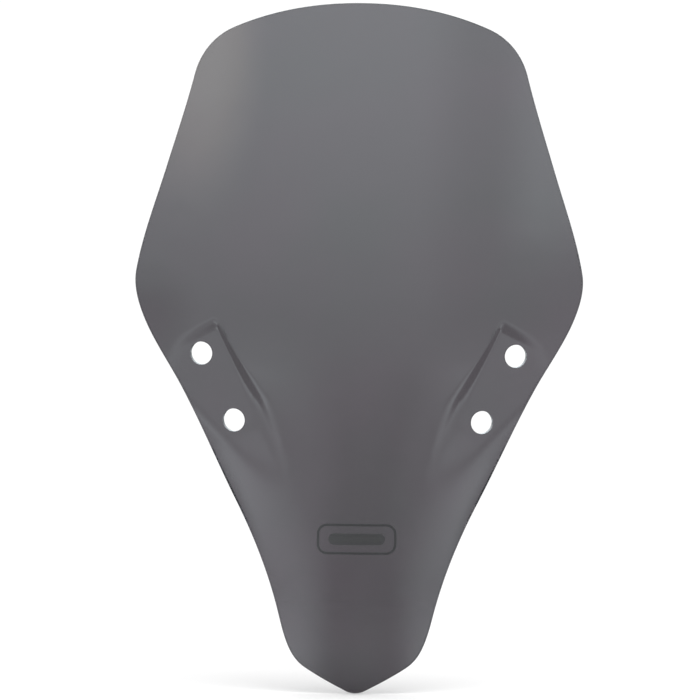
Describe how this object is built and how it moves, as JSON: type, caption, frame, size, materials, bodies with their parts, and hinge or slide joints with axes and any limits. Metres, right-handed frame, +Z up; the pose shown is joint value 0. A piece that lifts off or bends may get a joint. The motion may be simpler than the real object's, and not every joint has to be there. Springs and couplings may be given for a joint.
{
  "type": "motorcycle windshield screen",
  "caption": "Tall shield-shaped smoke-tinted acrylic windshield screen, bowed side to side, with flat drilled mounting pads and a narrow pointed tongue.",
  "frame": {"origin": "centre of the pattern of four mounting holes, level with the rear faces of the two mounting pads", "axes": "+Z up along the screen, +X across it, -Y out of the convex outer face, so the rider is on the +Y side"},
  "size_m": [0.353, 0.0556, 0.541],
  "materials": {
    "smoke_acrylic": "polished",
    "badge_film": "satin"
  },
  "bodies": {
    "root": {"screen_panel": "smoke_acrylic", "badge_border": "badge_film", "badge_field": "badge_film"}
  },
  "joints": []
}
